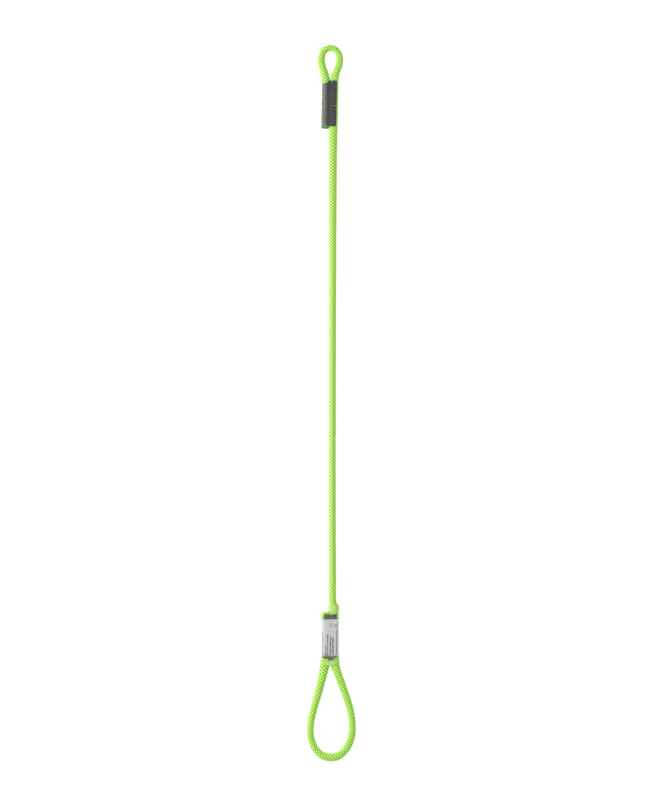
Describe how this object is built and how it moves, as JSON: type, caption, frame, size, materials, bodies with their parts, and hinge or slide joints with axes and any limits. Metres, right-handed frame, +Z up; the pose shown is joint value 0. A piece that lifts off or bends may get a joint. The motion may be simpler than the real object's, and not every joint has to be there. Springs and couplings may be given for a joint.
{
  "type": "rope lanyard",
  "caption": "Round braided rope lanyard with a small sewn eye at one end and a large sewn loop under a clear shrink sleeve at the other, lying straight.",
  "frame": {"origin": "middle of the object's length and width, on the surface it lies on", "axes": "+Y along the rope towards the small eye, +Z up from the surface, +X across the loop"},
  "size_m": [0.0686, 1, 0.0142],
  "materials": {
    "braided_sheath": "woven polyamide, semi-matt",
    "core_yarn": "laid polyamide yarn",
    "marker_yarn": "twisted yarn",
    "melted_rope": "fused polyamide",
    "sewing_thread": "bonded twisted thread",
    "label_film": "satin print",
    "shrink_tube": "clear polyolefin"
  },
  "bodies": {
    "sleeved_splice": {"splice_rope_sheath": "braided_sheath", "splice_rope_core": "core_yarn", "splice_rope_marker": "marker_yarn", "splice_rope_end": "melted_rope", "splice_needle_thread": "sewing_thread", "splice_bobbin_thread": "sewing_thread", "printed_label": "label_film", "heat_shrink_sleeve": "shrink_tube"},
    "large_loop": {"loop_rope_sheath": "braided_sheath", "loop_rope_core": "core_yarn", "loop_rope_marker": "marker_yarn"},
    "lower_line": {"lower_line_sheath": "braided_sheath", "lower_line_core": "core_yarn", "lower_line_marker": "marker_yarn"},
    "upper_line": {"upper_line_sheath": "braided_sheath", "upper_line_core": "core_yarn", "upper_line_marker": "marker_yarn"},
    "small_eye_end": {"eye_rope_sheath": "braided_sheath", "eye_rope_core": "core_yarn", "eye_rope_marker": "marker_yarn", "eye_rope_end": "melted_rope", "eye_needle_thread": "sewing_thread", "eye_bobbin_thread": "sewing_thread"}
  },
  "joints": [
    {"name": "large_loop_fold", "type": "hinge", "parent": "sleeved_splice", "child": "large_loop", "pos_m": [-0.0004, -0.395, 0.0049], "axis": [1, 0, 0], "range_deg": [-90, 90]},
    {"name": "sleeve_swing", "type": "hinge", "parent": "sleeved_splice", "child": "lower_line", "pos_m": [0.00135, -0.2324, 0.0049], "axis": [0, 0, 1], "range_deg": [-90, 90]},
    {"name": "line_bend", "type": "hinge", "parent": "lower_line", "child": "upper_line", "pos_m": [0.00125, 0.05, 0.0049], "axis": [0, 0, 1], "range_deg": [-90, 90]},
    {"name": "small_eye_swing", "type": "hinge", "parent": "upper_line", "child": "small_eye_end", "pos_m": [0.00185, 0.335, 0.0049], "axis": [0, 0, 1], "range_deg": [-90, 90]}
  ]
}
